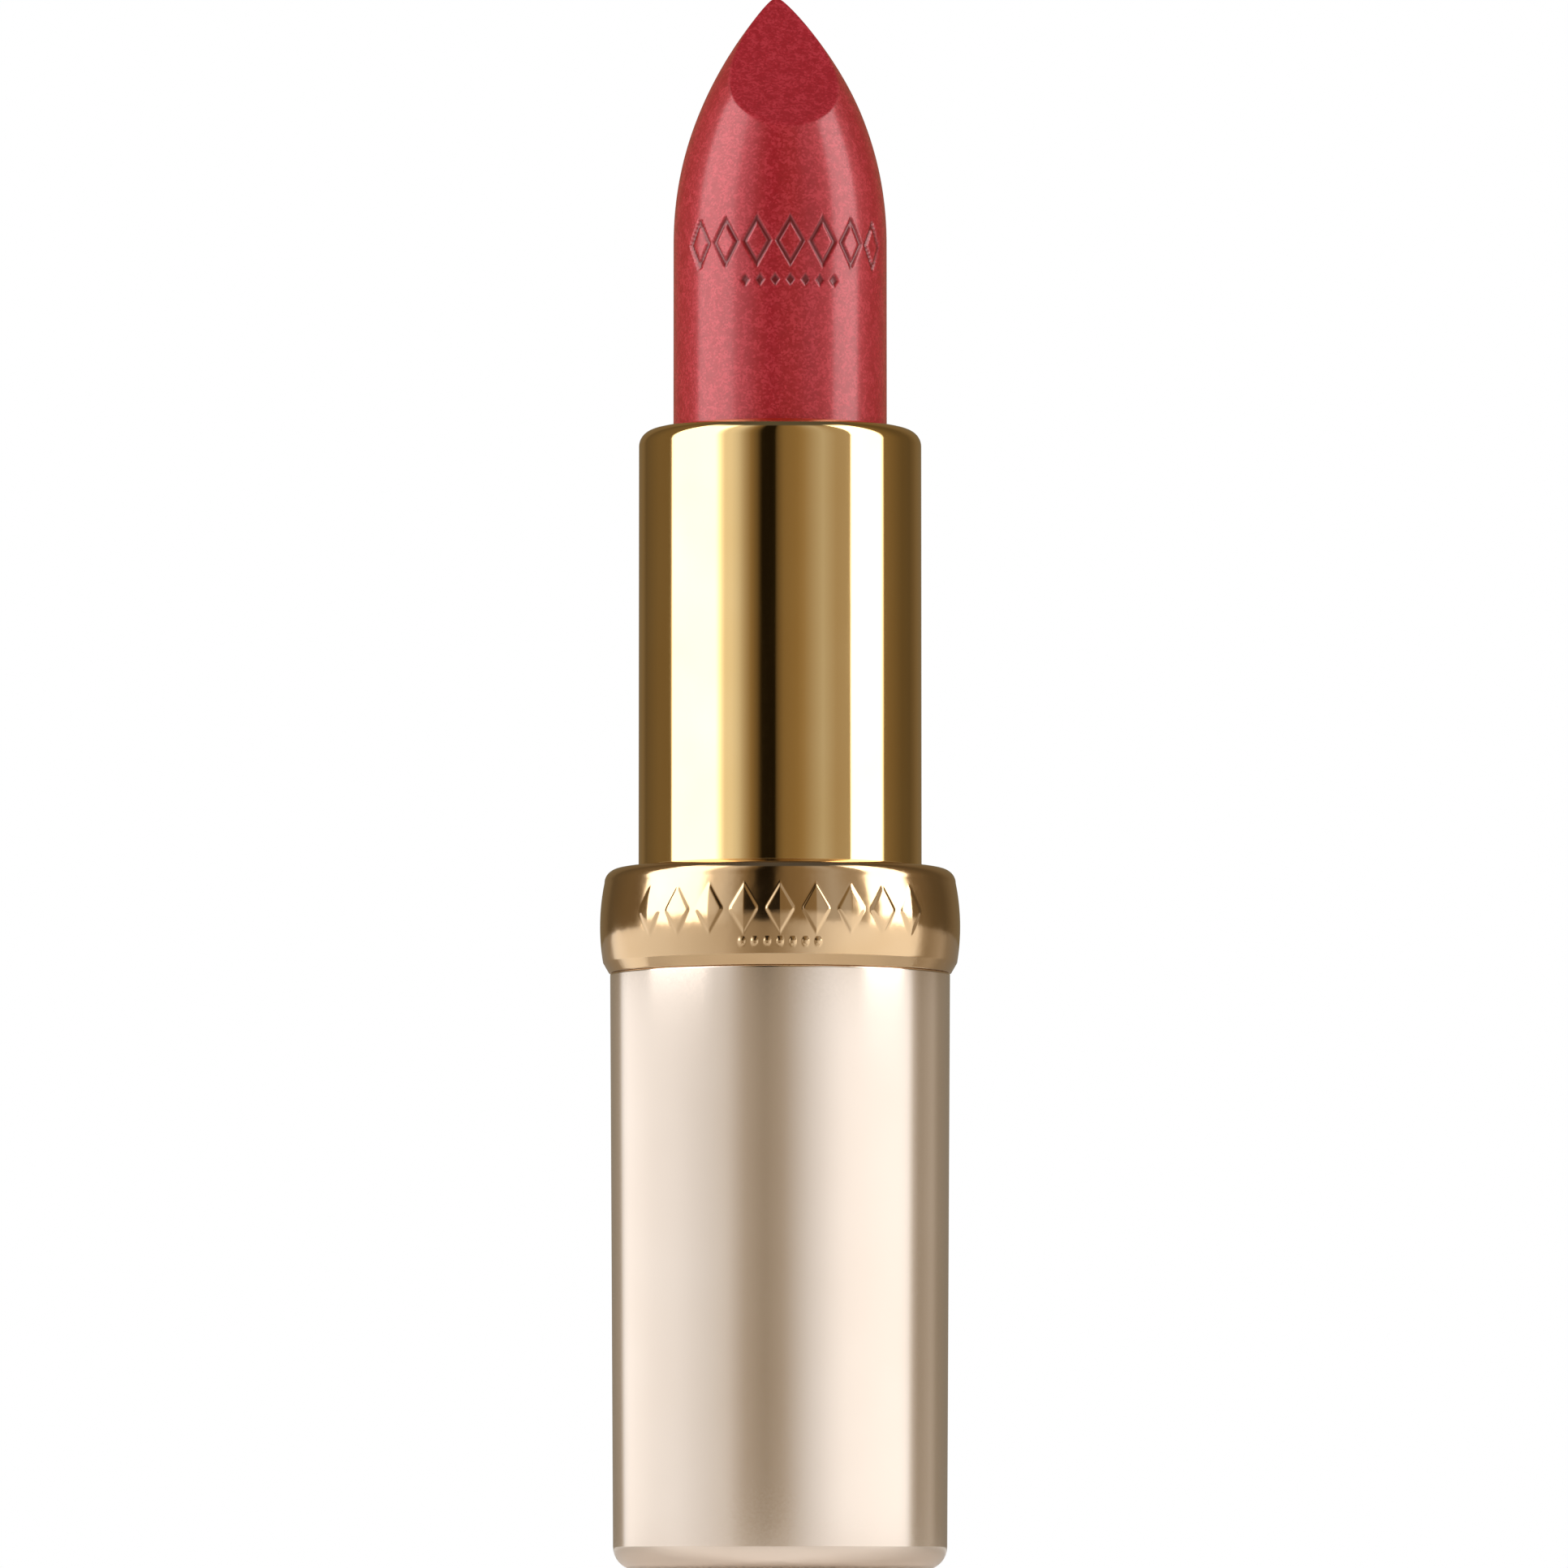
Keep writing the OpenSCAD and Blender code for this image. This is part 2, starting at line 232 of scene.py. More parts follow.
def makeCollar(s):
    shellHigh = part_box("base_shell")[1]
    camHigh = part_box("cam_tube")[1]
    baseTop, foot = shellHigh.x / mm, shellHigh.z / mm
    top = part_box("collar_ring")[1].z / mm
    widestRadius = baseTop + s["bulge"]
    height = top - foot
    bore = camHigh.x / mm + s["runGap"]
    skirtRadius = baseTop - baseShell["wall"]
    middle = foot + s["widest"] * height

    # the barrel: r = R - b + sqrt(b^2 - (z - middle)^2), between the foot's chamfer and the top edge
    z = np.linspace(foot + s["chamfer"], top - s["topRound"], 46)
    r = widestRadius - s["barrel"] + np.sqrt(s["barrel"] ** 2 - (z - middle) ** 2)
    edgeMiddle = baseTop + s["topStep"] - s["topRound"]
    t = np.linspace(0, np.pi / 2, 14)[1:]
    reach = r[-1] - edgeMiddle
    shoulder = np.stack([edgeMiddle + reach * np.cos(t), top - s["topRound"] * (1 - np.sin(t))], -1)
    plain = skirtRadius + s["chamferFoot"]
    chamfer = outline([(plain, foot, 0), (baseTop + 0.06, foot, 0.1), (r[0], z[0], 0)])
    inside = outline([
        (edgeMiddle, top, 0),
        (bore, top, 0.06),
        (bore, foot - s["skirt"], 0.1),
        (skirtRadius, foot - s["skirt"], 0.15),
        (skirtRadius, foot - 0.03, 0),
    ])
    path = np.concatenate([chamfer[:-1], np.stack([r, z], -1), shoulder, inside[1:]])

    def swell(turn, radius, up):
        # height over the barrel: lozenges whose four slopes rise to a point, and a row of small beads
        across = (turn + np.pi / 2) * widestRadius
        lift = np.zeros_like(radius)
        w, h = s["lozenge"]
        for i in range(-s["each"], s["each"] + 1):
            at = across - math.radians(i * s["pitch"]) * widestRadius
            d = -lozengeEdge(at, up - foot - s["rowHeight"] * height, w, h)
            slope = np.clip(d / s["slopeWidth"], 0, 1)
            edge = s["raisedEdge"]
            lift = np.maximum(lift, edge * smoothStep(0, s["edgeWidth"], d) + (1 - edge) * slope)
        for i in range(s["beads"]):
            at = across - (i - (s["beads"] - 1) / 2) * s["beadPitch"]
            away = np.hypot(at, up - foot - s["beadRow"] * height) / (s["beadSize"] / 2)
            lift = np.maximum(lift, s["beadRise"] * np.sqrt(np.clip(1 - away ** 2, 0, 1)))
        outside = smoothStep(baseTop + 0.05, baseTop + 0.15, radius)
        return s["raised"] * lift * outside

    ring = lathe("collarBand", path, angles=frontAngles(620, s["front"]), closed=True, swell=swell)
    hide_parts("collar_ring")
    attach(ring, "base")
    return ring


# ---- sleeve

drawnSleeve = {
    "wall": 0.35,      # mm
    "shoulder": 0.9,   # mm, outside radius of the shoulder
    "lipGap": 0.3,     # mm round the bullet
    "edge": 0.08,      # mm
}


def makeSleeve(s):
    low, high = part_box("sleeve")
    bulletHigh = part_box("bullet")[1]
    outer, foot, rim = high.x / mm, low.z / mm, high.z / mm
    lip = bulletHigh.x / mm + s["lipGap"]
    path = outline([
        (outer - s["wall"], foot, s["edge"]),
        (outer, foot, s["edge"]),
        (outer, rim, s["shoulder"]),
        (lip, rim, s["edge"]),
        (lip, rim - s["wall"], s["edge"]),
        (outer - s["wall"], rim - s["wall"], s["shoulder"] - s["wall"]),
    ], closed=True)
    tube = lathe("drawnSleeve", path, columns=320, closed=True)
    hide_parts("sleeve")
    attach(tube, "turning_sleeve")
    return tube


# ---- bullet

waxBullet = {
    "nose": 14.5,        # mm, length of the curved nose
    "noseBlunt": 0.25,   # mm, radius left at the tip
    "nosePower": 2.12,   # how full the nose is: 2 is a parabola
    "leanBack": 1.9,     # mm that the tip lies behind the axis
    "leanFrom": 6.93,    # mm below the tip where the lean starts
    "faceCurve": 45.0,   # mm, radius of the hollow slanted face
    "faceAxis": (-35.01, 25.39),  # mm, the face's axis: in front of the bullet's, and above the tip
    "fullBack": 0.88,    # mm added to the back of the nose, at half of fullTo
    "fullTo": 14.0,      # mm below the tip
    "fullBlend": 0.02,   # mm, how softly it meets the shank
    "softEdge": 0.13,    # mm
    "tipRound": 0.22,    # mm
    "footRound": 0.4,    # mm, in the cup
    "turned": 5.5,       # degrees
    "pressedDepth": 0.09,    # mm
    "pressedRow": 14.9,      # mm below the tip
    "lozenge": (1.45, 2.5),  # mm
    "lozengePitch": 1.9,     # mm
    "each": 3,               # outlined lozenges to each side of the middle one
    "stroke": 0.2,           # mm
    "strokeEdge": 0.04,          # mm inside a stroke's edge over which it sinks
    "pressedEdge": (0.05, 0.06), # mm, the same inside a small lozenge, and outside both
    "smallRow": 17.1,        # mm below the tip
    "smallSize": (0.5, 0.66),    # mm
    "smallPitch": 0.86,      # mm
    "smallEach": 3,
    "columns": 320,
    "crowd": 0.68,
}


def bulletLevels(s, length):
    # distances below the tip, close together at the tip and where the pattern is pressed in
    tip = s["tipRound"] * (1 - np.cos(np.linspace(0.12, np.pi / 2, 9)))
    stretches = [
        (s["tipRound"], 2.0, 30),
        (2.0, 7.6, 70),
        (7.6, s["pressedRow"] - 1.5, 32),
        (s["pressedRow"] - 1.5, s["smallRow"] + 0.6, 84),
        (s["smallRow"] + 0.6, length - s["footRound"], 30),
    ]
    parts = [tip] + [np.linspace(a, b, n + 1)[1:] for a, b, n in stretches]
    foot = length - s["footRound"] * (1 - np.sin(np.linspace(0, 1.35, 6)[1:]))
    return np.concatenate(parts + [foot])


def makeBullet(s):
    # each level is a circle cut by the hollow face, drawn as a distance from a point inside it:
    # circle radius b + (r - b)(1 - (1 - s/l)^p), its middle moved back as the 1.5th power of the height in
    # the lean, and face y = a + sqrt(f^2 - (s + c)^2); the two are joined by a smooth minimum. Behind its
    # middle each level is drawn out into half an ellipse, by a half sine wave down the nose
    # that stops at the shank's radius
    low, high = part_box("bullet")
    radius = (high.x - low.x) / 2 / mm
    tip, length = high.z / mm, (high.z - low.z) / mm
    down = bulletLevels(s, length)[:, None]
    turn = frontAngles(s["columns"], s["crowd"])[None, :]
    inNose = np.clip(1 - down / s["nose"], 0, None)
    circle = s["noseBlunt"] + (radius - s["noseBlunt"]) * (1 - inNose ** s["nosePower"])
    back = s["leanBack"] * np.clip(1 - down / s["leanFrom"], 0, 1) ** 1.5
    axisY, axisUp = s["faceAxis"]
    face = axisY + np.sqrt(np.clip(s["faceCurve"] ** 2 - (down + axisUp) ** 2, 0, None))
    cut = np.maximum(face, back - circle)
    middle = (cut + back + circle) / 2
    offset = middle - back
    toCircle = -offset * np.sin(turn) + np.sqrt(circle ** 2 - (offset * np.cos(turn)) ** 2)
    toFace = (middle - face) / np.clip(-np.sin(turn), 1e-4, None)
    toFace = np.where((np.sin(turn) < 0) & (face > back - circle - 1), np.abs(toFace), 1e3)
    soft = np.minimum(s["softEdge"], 0.5 * (back + circle - cut))
    away = np.minimum(toCircle, toFace)
    away = away - np.clip(soft - np.abs(toCircle - toFace), 0, None) ** 2 / (4 * soft)
    top = np.clip(1 - down / s["tipRound"], 0, 1)
    foot = np.clip((down - length + s["footRound"]) / s["footRound"], 0, 1)
    away = away * np.sqrt(1 - top ** 2)
    away = away - s["footRound"] * (1 - np.sqrt(1 - foot ** 2))

    # pressed pattern: outlined lozenges in a row, and small solid ones under them
    across = (turn + np.pi / 2) * radius
    pressed = np.zeros_like(away)
    inside, outside = s["pressedEdge"]
    strokeEdge = s["strokeEdge"]
    w, h = s["lozenge"]
    for i in range(-s["each"], s["each"] + 1):
        d = lozengeEdge(across - i * s["lozengePitch"], down - s["pressedRow"], w, h)
        line = 1 - smoothStep(s["stroke"] / 2 - strokeEdge, s["stroke"] / 2 + outside, np.abs(d))
        pressed = np.maximum(pressed, line)
    w, h = s["smallSize"]
    for i in range(-s["smallEach"], s["smallEach"] + 1):
        d = lozengeEdge(across - i * s["smallPitch"], down - s["smallRow"], w, h)
        pressed = np.maximum(pressed, 1 - smoothStep(-inside, outside, d))
    away = away - s["pressedDepth"] * pressed

    x, y = away * np.cos(turn), middle + away * np.sin(turn)
    wave = s["fullBack"] * np.sin(np.pi * np.clip(down / s["fullTo"], 0, 1))
    room = radius - circle - back
    swell = (wave + room) / 2 - np.hypot((wave - room) / 2, s["fullBlend"])
    y = y + np.clip(swell, 0, None) * np.clip((y - back) / circle, 0, 1)
    lean = math.radians(s["turned"])
    px, py = x * math.cos(lean) - y * math.sin(lean), x * math.sin(lean) + y * math.cos(lean)
    pz = np.repeat(tip - down, s["columns"], 1)
    points = np.stack([px, py, pz], -1).reshape(-1, 3)
    rows, columns = pz.shape
    faces = gridFaces(rows, columns)[:, ::-1].tolist()
    tipY, footRing = float(middle[0, 0]), np.arange(columns) + (rows - 1) * columns
    ends = [[-tipY * math.sin(lean), tipY * math.cos(lean), tip - 0.001], [0, 0, tip - length]]
    points = np.concatenate([points, ends])
    faces += capFaces(len(points) - 2, np.arange(columns)).tolist()
    faces += capFaces(len(points) - 1, footRing, flip=True).tolist()
    wax = putMesh("waxBullet", points * mm, faces)
    # mask of the pressed pattern; the wax material also uses it to paint shade into the recesses
    mark = wax.data.attributes.new("pressed", "FLOAT", "POINT")
    mark.data.foreach_set("value", np.concatenate([pressed.ravel(), [0, 0]]).astype(np.float32))
    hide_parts("bullet")
    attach(wax, "elevator")
    return wax


# ---- materials

def linear(hexColour):
    # sRGB hex to linear colour
    c = np.array([int(hexColour[i:i + 2], 16) for i in (1, 3, 5)]) / 255
    c = np.where(c <= 0.04045, c / 12.92, ((c + 0.055) / 1.055) ** 2.4)
    return (*c.tolist(), 1.0)


def perMm(size):
    # texture scale for a pattern of this size in mm, on object coordinates in metres
    return 1 / (size * mm)


def addNode(tree, kind, settings=None, links=None):
    # a node with its settings, by input name or number or as a property, and links from (node, output)
    made = tree.nodes.new(kind)
    for key, value in (settings or {}).items():
        if isinstance(key, int) or key in made.inputs.keys():
            made.inputs[key].default_value = value
        else:
            setattr(made, key, value)
    for key, (source, output) in (links or {}).items():
        tree.links.new(source.outputs[output], made.inputs[key])
    return made


def newMaterial(name, settings):
    # a material with one Principled shader; returns it with its tree, shader and object coordinates
    made = bpy.data.materials.new(name)
    made.use_nodes = True
    tree = made.node_tree
    tree.nodes.clear()
    shader = addNode(tree, "ShaderNodeBsdfPrincipled", settings)
    addNode(tree, "ShaderNodeOutputMaterial", links={"Surface": (shader, "BSDF")})
    place = addNode(tree, "ShaderNodeTexCoord")
    return made, tree, shader, place


def noise(tree, place, sizeMm, detail=3, stretch=(1, 1, 1)):
    # noise of a real size; stretch squeezes it along each axis
    mapped = addNode(tree, "ShaderNodeMapping", {"Scale": stretch}, {"Vector": (place, "Object")})
    return addNode(tree, "ShaderNodeTexNoise", {"Scale": perMm(sizeMm), "Detail": detail},
                   {"Vector": (mapped, "Vector")})


def spread(tree, source, output, low, high, fromLow=0.3, fromHigh=0.7):
    # maps a pattern's value to a range
    return addNode(tree, "ShaderNodeMapRange",
                   {"From Min": fromLow, "From Max": fromHigh, "To Min": low, "To Max": high},
                   {"Value": (source, output)})


def blendColours(tree, source, output, stops):
    # a colour ramp of (place, hex) stops over a value
    ramp = addNode(tree, "ShaderNodeValToRGB", links={"Fac": (source, output)})
    points = ramp.color_ramp.elements
    points[0].position, points[0].color = stops[0][0], linear(stops[0][1])
    points[1].position, points[1].color = stops[-1][0], linear(stops[-1][1])
    for place, colour in stops[1:-1]:
        points.new(place).color = linear(colour)
    return ramp


def bump(tree, shader, source, output, heightMm, strength=1.0):
    # surface relief of a real height
    made = addNode(tree, "ShaderNodeBump", {"Strength": strength, "Distance": heightMm * mm},
                   {"Height": (source, output)})
    tree.links.new(made.outputs["Normal"], shader.inputs["Normal"])


def satinAnodised():
    # bead-etched, champagne-anodised aluminium: a broad, soft, slightly grainy metal sheen
    made, tree, shader, place = newMaterial("satinChampagneAluminium", {"Metallic": 1.0})
    tone = noise(tree, place, 9, 2)
    colour = blendColours(tree, tone, "Fac", [(0.3, "#efdfd0"), (0.7, "#f2e3d5")])
    tree.links.new(colour.outputs["Color"], shader.inputs["Base Color"])
    grain = noise(tree, place, 0.12, 2)   # etch grit, drawn coarse enough to show
    rough = spread(tree, grain, "Fac", 0.14, 0.18)
    tree.links.new(rough.outputs["Result"], shader.inputs["Roughness"])
    bump(tree, shader, grain, "Fac", 0.0004)
    return made


def metallisedLacquer():
    # vacuum-metallised ABS under pale gold lacquer: nearly a mirror, a little soft from the moulding
    made, tree, shader, place = newMaterial(
        "metallisedPaleGold", {"Metallic": 1.0, "Coat Weight": 0.3, "Coat Roughness": 0.05})
    tone = noise(tree, place, 4, 2)
    colour = blendColours(tree, tone, "Fac", [(0.3, "#d9b689"), (0.7, "#dfbe94")])
    tree.links.new(colour.outputs["Color"], shader.inputs["Base Color"])
    peel = noise(tree, place, 1.3, 2)   # lacquer's slow waves
    rough = spread(tree, peel, "Fac", 0.1, 0.15)
    tree.links.new(rough.outputs["Result"], shader.inputs["Roughness"])
    bump(tree, shader, peel, "Fac", 0.012)
    return made


def polishedAnodised():
    # buffed and gold-anodised aluminium: a clear mirror with faint lengthwise drawing lines
    made, tree, shader, place = newMaterial("polishedGoldAluminium", {"Metallic": 1.0})
    tone = noise(tree, place, 7, 2)
    colour = blendColours(tree, tone, "Fac", [(0.3, "#f0cb8a"), (0.7, "#f3d092")])
    tree.links.new(colour.outputs["Color"], shader.inputs["Base Color"])
    lines = noise(tree, place, 0.25, 2, (1, 1, 0.03))   # drawing lines, stretched along the axis
    rough = spread(tree, lines, "Fac", 0.045, 0.08)
    tree.links.new(rough.outputs["Result"], shader.inputs["Roughness"])
    bump(tree, shader, lines, "Fac", 0.00012)
    return made


def pearlWax():
    # moulded lipstick wax with mica flakes: dark red below, pink glints from flakes lying at all tilts; the
    # pressed pattern is painted a darker red, which is painted shade in its recesses
    made, tree, shader, place = newMaterial(
        "pearlRedWax", {"Metallic": 0.18, "IOR": 1.45, "Coat Weight": 0.6, "Coat Roughness": 0.17})
    flakes = addNode(tree, "ShaderNodeTexVoronoi", {"Scale": perMm(0.11)}, {"Vector": (place, "Object")})
    glint = addNode(tree, "ShaderNodeSeparateColor", links={"Color": (flakes, "Color")})
    clouds = noise(tree, place, 0.6, 3)
    mixed = addNode(tree, "ShaderNodeMath", {"operation": "MULTIPLY_ADD", 1: 0.55},
                    {0: (glint, "Red"), 2: (clouds, "Fac")})
    colour = blendColours(tree, mixed, "Value", [(0.3, "#a0141f"), (0.75, "#ab1c28"), (1.0, "#c2323e")])
    # painted shade: the recesses of the pressed pattern are painted a darker red
    mark = addNode(tree, "ShaderNodeAttribute", {"attribute_name": "pressed"})
    recessShade = addNode(tree, "ShaderNodeMix", {"data_type": "RGBA", 7: linear("#760c16")},
                   {0: (mark, "Fac"), 6: (colour, "Color")})
    tree.links.new(recessShade.outputs[2], shader.inputs["Base Color"])
    rough = spread(tree, glint, "Green", 0.34, 0.46, 0, 1)
    tree.links.new(rough.outputs["Result"], shader.inputs["Roughness"])
    bump(tree, shader, mixed, "Value", 0.001)
    return made


def mouldedPlastic(name, colours, rough, grainMm, reliefMm):
    # unpainted moulding: nearly matt, with slow colour drift and the mould's spark-etched grain
    made, tree, shader, place = newMaterial(name, {"IOR": 1.49})
    drift = noise(tree, place, 5, 3)
    colour = blendColours(tree, drift, "Fac", [(0.3, colours[0]), (0.7, colours[1])])
    tree.links.new(colour.outputs["Color"], shader.inputs["Base Color"])
    grain = noise(tree, place, grainMm, 2)
    roughness = spread(tree, grain, "Fac", rough - 0.05, rough + 0.07)
    tree.links.new(roughness.outputs["Result"], shader.inputs["Roughness"])
    bump(tree, shader, grain, "Fac", reliefMm)
    return made


def turnedSteel():
    # bar-turned mild steel: fine rings from the tool on its ends and sides
    made, tree, shader, place = newMaterial("turnedSteel", {"Metallic": 1.0})
    rings = addNode(tree, "ShaderNodeTexWave",
                    {"wave_type": "RINGS", "rings_direction": "Z", "Scale": perMm(0.3) / 20,
                     "Distortion": 0.4},
                    {"Vector": (place, "Object")})
    colour = blendColours(tree, rings, "Fac", [(0.0, "#8f9193"), (1.0, "#a6a8a9")])
    tree.links.new(colour.outputs["Color"], shader.inputs["Base Color"])
    rough = spread(tree, rings, "Fac", 0.28, 0.42, 0, 1)
    tree.links.new(rough.outputs["Result"], shader.inputs["Roughness"])
    bump(tree, shader, rings, "Fac", 0.01)
    return made


def coatedPaper():
    # coated label stock: even off-white with faint fibres
    made, tree, shader, place = newMaterial("coatedLabelPaper", {"IOR": 1.5})
    fibres = noise(tree, place, 0.5, 5, (1, 0.35, 1))
    colour = blendColours(tree, fibres, "Fac", [(0.3, "#ece6d8"), (0.7, "#f6f1e6")])
    tree.links.new(colour.outputs["Color"], shader.inputs["Base Color"])
    rough = spread(tree, fibres, "Fac", 0.5, 0.62)
    tree.links.new(rough.outputs["Result"], shader.inputs["Roughness"])
    bump(tree, shader, fibres, "Fac", 0.01)
    return made


def dress(piece, material):
    # puts one material in every slot of a piece
    slots = piece.data.materials
    slots.clear()
    slots.append(material)


# ---- build

shell = makeBaseShell(baseShell)
collar = makeCollar(collarRing)
sleeve = makeSleeve(drawnSleeve)
bullet = makeBullet(waxBullet)
print("pieces made: shell, collar, sleeve, bullet")

dress(shell, satinAnodised())
dress(collar, metallisedLacquer())
dress(sleeve, polishedAnodised())
dress(bullet, pearlWax())
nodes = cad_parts
whiteAcetal = mouldedPlastic("whiteAcetal", ("#dedcd4", "#e6e4dd"), 0.42, 0.2, 0.004)
dress(nodes["elevator_cup"], whiteAcetal)
dress(nodes["guide_tube"], whiteAcetal)
dress(nodes["cam_tube"], mouldedPlastic("ivoryAcetal", ("#d6d1c0", "#dfdac9"), 0.38, 0.2, 0.003))
dress(nodes["base_liner"], mouldedPlastic("blackPolystyrene", ("#161617", "#1d1d1f"), 0.48, 0.25, 0.006))
dress(nodes["drag_ring"], mouldedPlastic("blackNitrile", ("#101010", "#181818"), 0.6, 0.15, 0.008))
dress(nodes["base_weight"], turnedSteel())
dress(nodes["base_label"], coatedPaper())
print("materials made:", len(bpy.data.materials))


# ---- floor, light and camera

floor = {
    "half": 1.5,        # m, half its side
    "under": 0.00002,   # m below the foot
    "colours": ("#f4f3f1", "#f7f6f5"),
}


def makeFloor(s):
    # one square, a hair under the foot
    x, y = np.meshgrid([-s["half"], s["half"]], [-s["half"], s["half"]])
    points = np.stack([x.ravel(), y.ravel(), np.full(4, cadLow.z - s["under"])], -1)
    plane = putMesh("studioFloor", points, [[0, 1, 3, 2]])
    made, tree, shader, place = newMaterial(
        "matteStudioBoard", {"Roughness": 0.8, "Specular IOR Level": 0.1})
    drift = noise(tree, place, 80, 2)
    colour = blendColours(tree, drift, "Fac", [(0.3, s["colours"][0]), (0.7, s["colours"][1])])
    tree.links.new(colour.outputs["Color"], shader.inputs["Base Color"])
    dress(plane, made)


# brightness of the studio round the object, by bearing in degrees from straight in front, + to the right:
# a tall soft box on each side, a dim room between them with a narrow black flag, and a dim wall behind
studio = {
    "round": [
        (-180, 0.2), (-150, 0.2), (-142, 0.13), (-117, 0.19), (-100, 0.19), (-98.5, 3.2), (-54, 3.2),
        (-50, 1.6), (-46, 0.94), (-40, 0.9), (-34.6, 0.73), (-29, 0.45), (-23.6, 0.26), (-18.3, 0.127),
        (-15, 0.012), (-4, 0.012), (-2.3, 0.127), (3, 0.235), (13.7, 0.28), (19, 0.33), (35, 0.53),
        (47, 0.42), (59.3, 0.44), (60.5, 3.8), (91, 3.8), (94, 0.24), (118, 0.135), (132, 0.12),
        (150, 0.2), (180, 0.2),
    ],
    "ceiling": 0.1,
    "fadeFrom": 0.8,    # sine of the elevation where the boxes end
    "fadeTo": 0.92,
    "warm": (0.74, 0.4),      # green and blue of the dim parts, as a share of red
    "warmBelow": (0.3, 0.55), # brightness where the dim parts' colour starts to go, and where it is gone
    "most": 4.0,
}


def roundRamp(tree, vector, s):
    # a colour ramp over the bearing of a vector: the listed brightness, warm where it is dim
    parts = addNode(tree, "ShaderNodeSeparateXYZ", links={"Vector": vector})
    toward = addNode(tree, "ShaderNodeMath", {"operation": "MULTIPLY", 1: -1.0}, {0: (parts, "Y")})
    bearing = addNode(tree, "ShaderNodeMath", {"operation": "ARCTAN2"},
                      {0: (parts, "X"), 1: (toward, "Value")})
    share = addNode(tree, "ShaderNodeMath", {"operation": "MULTIPLY_ADD", 1: 1 / (2 * math.pi), 2: 0.5},
                    {0: (bearing, "Value")})
    ramp = addNode(tree, "ShaderNodeValToRGB", links={"Fac": (share, "Value")})
    points = ramp.color_ramp.elements
    dim, lit = s["warmBelow"]
    for i, (degrees, value) in enumerate(s["round"]):
        place, level = degrees / 360 + 0.5, value / s["most"]
        white = min(max((value - dim) / (lit - dim), 0), 1)
        green, blue = (w + (1 - w) * white for w in s["warm"])
        point = points[i] if i < 2 else points.new(place)
        point.position, point.color = place, (level, level * green, level * blue, 1)
    return ramp


def makeStudio(s):
    world = bpy.data.worlds.new("softStudio")
    bpy.context.scene.world = world
    world.use_nodes = True
    tree = world.node_tree
    tree.nodes.clear()
    way = addNode(tree, "ShaderNodeTexCoord")
    ramp = roundRamp(tree, (way, "Generated"), s)
    parts = addNode(tree, "ShaderNodeSeparateXYZ", links={"Vector": (way, "Generated")})
    lift = addNode(tree, "ShaderNodeMapRange",
                   {"interpolation_type": "SMOOTHSTEP", "From Min": s["fadeFrom"], "From Max": s["fadeTo"]},
                   {"Value": (parts, "Z")})
    level = s["ceiling"] / s["most"]
    room = addNode(tree, "ShaderNodeMix", {"data_type": "RGBA", 7: (level, level, level, 1)},
                   {0: (lift, "Result"), 6: (ramp, "Color")})
    glow = addNode(tree, "ShaderNodeBackground", {"Strength": s["most"]}, {"Color": (room, 2)})
    plain = addNode(tree, "ShaderNodeBackground", {"Color": (1, 1, 1, 1), "Strength": 1.0})
    eye = addNode(tree, "ShaderNodeLightPath")
    choice = addNode(tree, "ShaderNodeMixShader",
                     links={0: (eye, "Is Camera Ray"), 1: (glow, "Background"), 2: (plain, "Background")})
    addNode(tree, "ShaderNodeOutputWorld", links={"Surface": (choice, "Shader")})


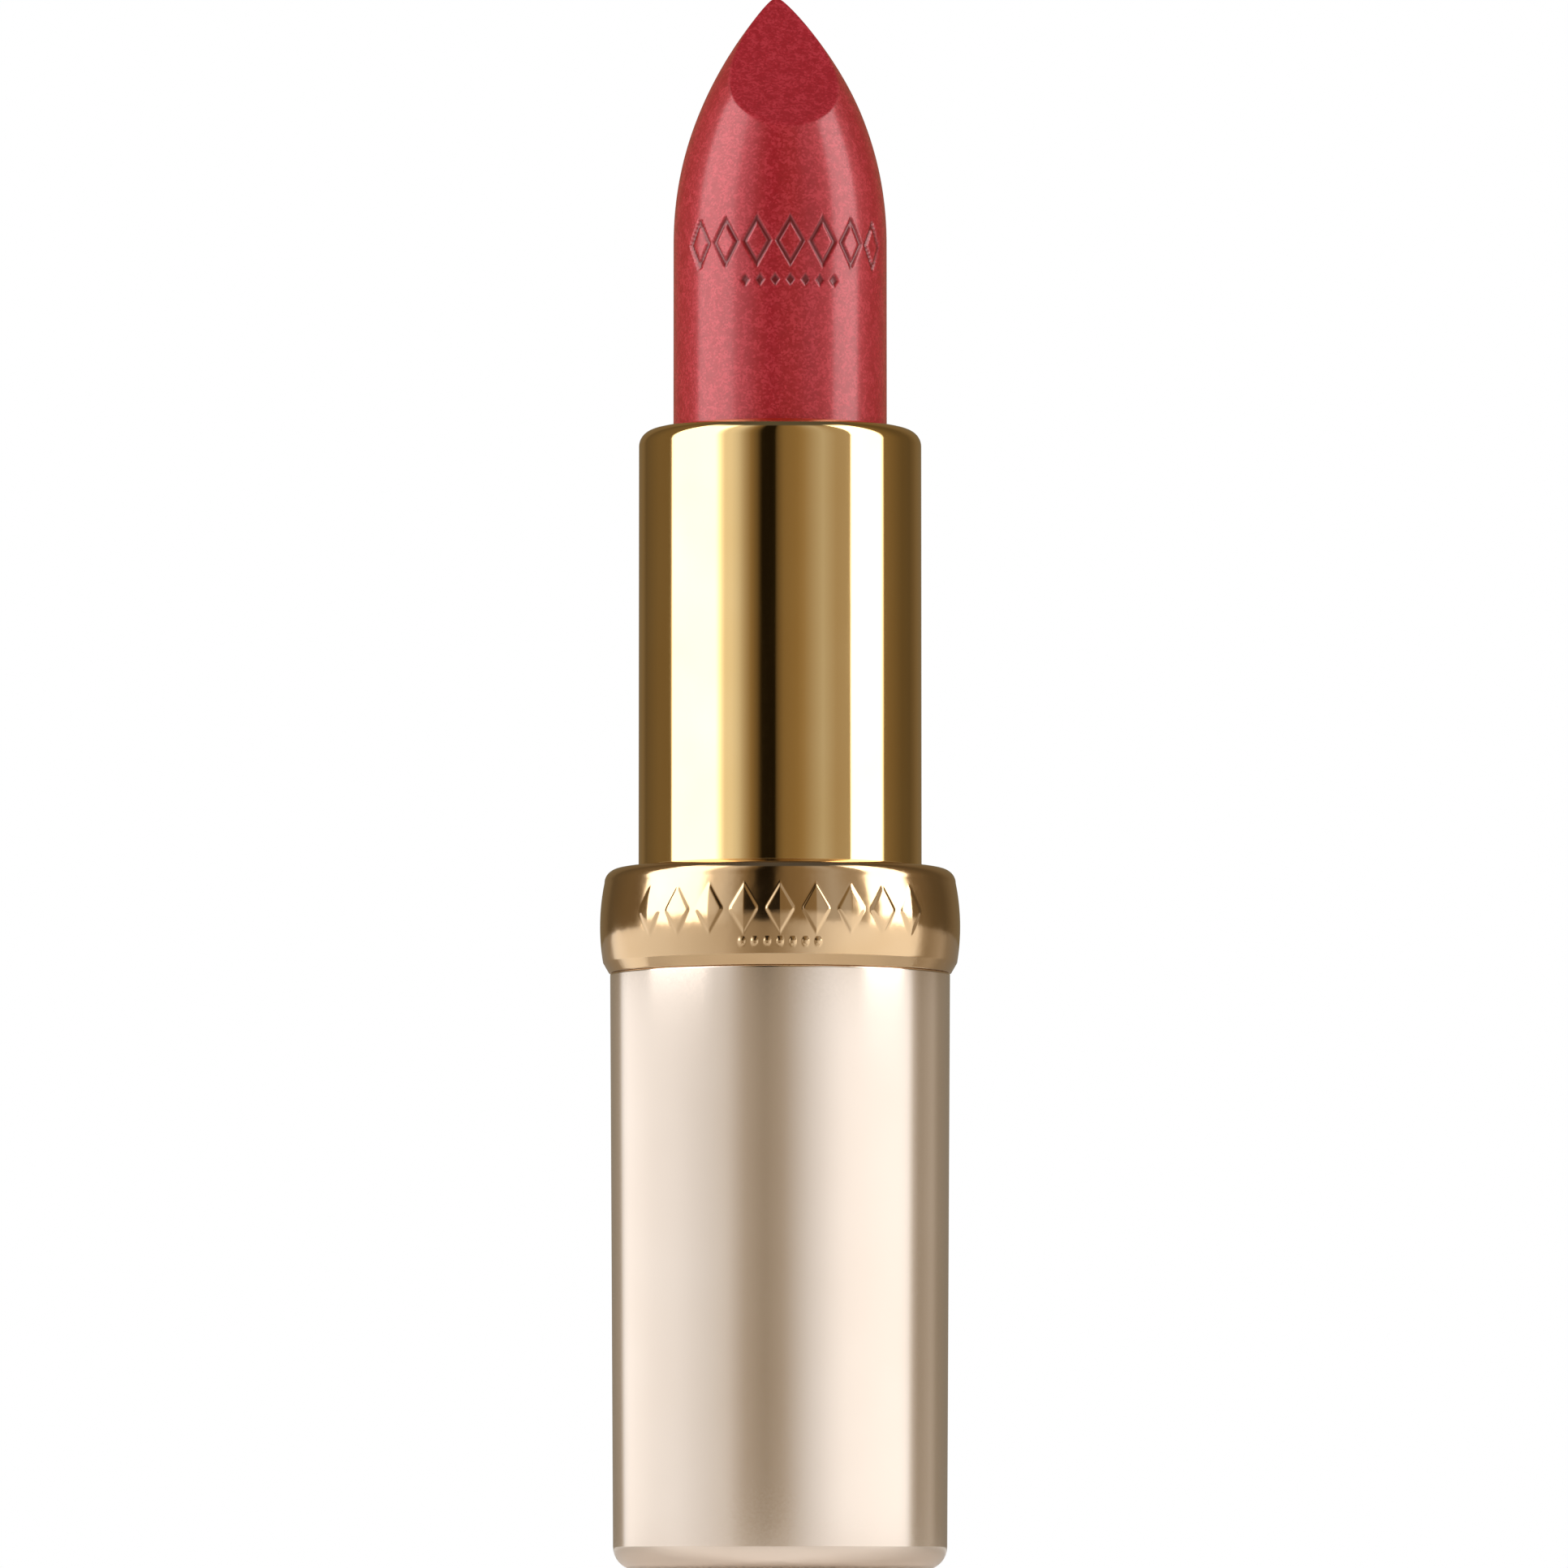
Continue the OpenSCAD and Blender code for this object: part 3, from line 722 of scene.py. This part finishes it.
# a low band of lit diffusing card round the foot, hidden from the camera, shadowless, and seen only in
# reflections, mostly in the base and the collar's lower half; its brightness goes by bearing too
lowCard = {
    "radius": 60,       # mm
    "height": 37,       # mm
    "columns": 96,
    "round": [
        (-180, 0.25), (-150, 0.28), (-132, 0.34), (-126, 1.05), (-118, 1.15), (-91, 0.98), (-68, 0.88),
        (-48, 0.76), (-34, 0.68), (-22, 0.44), (-9.4, 0.33), (2, 0.42), (19, 0.76), (33, 1.0), (42, 1.1),
        (62, 1.15), (84, 1.2), (91, 1.15), (96, 0.5), (102, 0.33), (119, 0.46), (128, 0.3), (150, 0.25),
        (180, 0.25),
    ],
    "warm": (0.84, 0.63),
    "warmBelow": (0.35, 0.8),
    "most": 2.0,
}


def makeLowCard(s):
    # an upright band: points (R cos a, R sin a, 0) and the same at its height
    n = s["columns"]
    a = np.linspace(0, 2 * np.pi, n, endpoint=False)
    ring = np.stack([np.cos(a), np.sin(a)], -1) * s["radius"]
    points = np.concatenate([np.column_stack([ring, np.full(n, z)]) for z in (0.0, s["height"])])
    band = putMesh("lowCard", points * mm, gridFaces(2, n)[:, ::-1].tolist())
    made = bpy.data.materials.new("litDiffusingCard")
    made.use_nodes = True
    tree = made.node_tree
    tree.nodes.clear()
    place = addNode(tree, "ShaderNodeTexCoord")
    ramp = roundRamp(tree, (place, "Object"), s)
    glow = addNode(tree, "ShaderNodeEmission", {"Strength": s["most"]}, {"Color": (ramp, "Color")})
    addNode(tree, "ShaderNodeOutputMaterial", links={"Surface": (glow, "Emission")})
    dress(band, made)
    band.visible_camera = False
    band.visible_shadow = False
    band.visible_diffuse = False


viewpoint = {
    "distance": 0.62,    # m, from the axis
    "height": 0.0001,    # m above the foot
    "aside": 0.00022,    # m
    "fill": 1.0025,      # the object's height over the frame's
}


def makeCamera(s):
    # level with the foot, tilted up until the object fills the frame's height
    data = bpy.data.cameras.new("studioCamera")
    eye = Vector((s["aside"], -s["distance"], cadLow.z + s["height"]))
    footAngle = math.atan2(cadLow.z - eye.z, s["distance"] + cadLow.y * 0.8)
    tipAngle = math.atan2(cadHigh.z - eye.z, s["distance"] + 0.0022)
    middle, half = (footAngle + tipAngle) / 2, (tipAngle - footAngle) / 2
    data.sensor_width = 36
    data.lens = data.sensor_width / 2 / math.tan(half) * s["fill"]
    data.clip_start = 0.01
    camera = bpy.data.objects.new("studioCamera", data)
    bpy.context.scene.collection.objects.link(camera)
    camera.location = eye
    camera.rotation_euler = (math.pi / 2 + middle, 0, 0)
    bpy.context.scene.camera = camera


makeFloor(floor)
makeStudio(studio)
makeLowCard(lowCard)
makeCamera(viewpoint)
bpy.context.scene.view_settings.view_transform = "Standard"
print("studio ready")
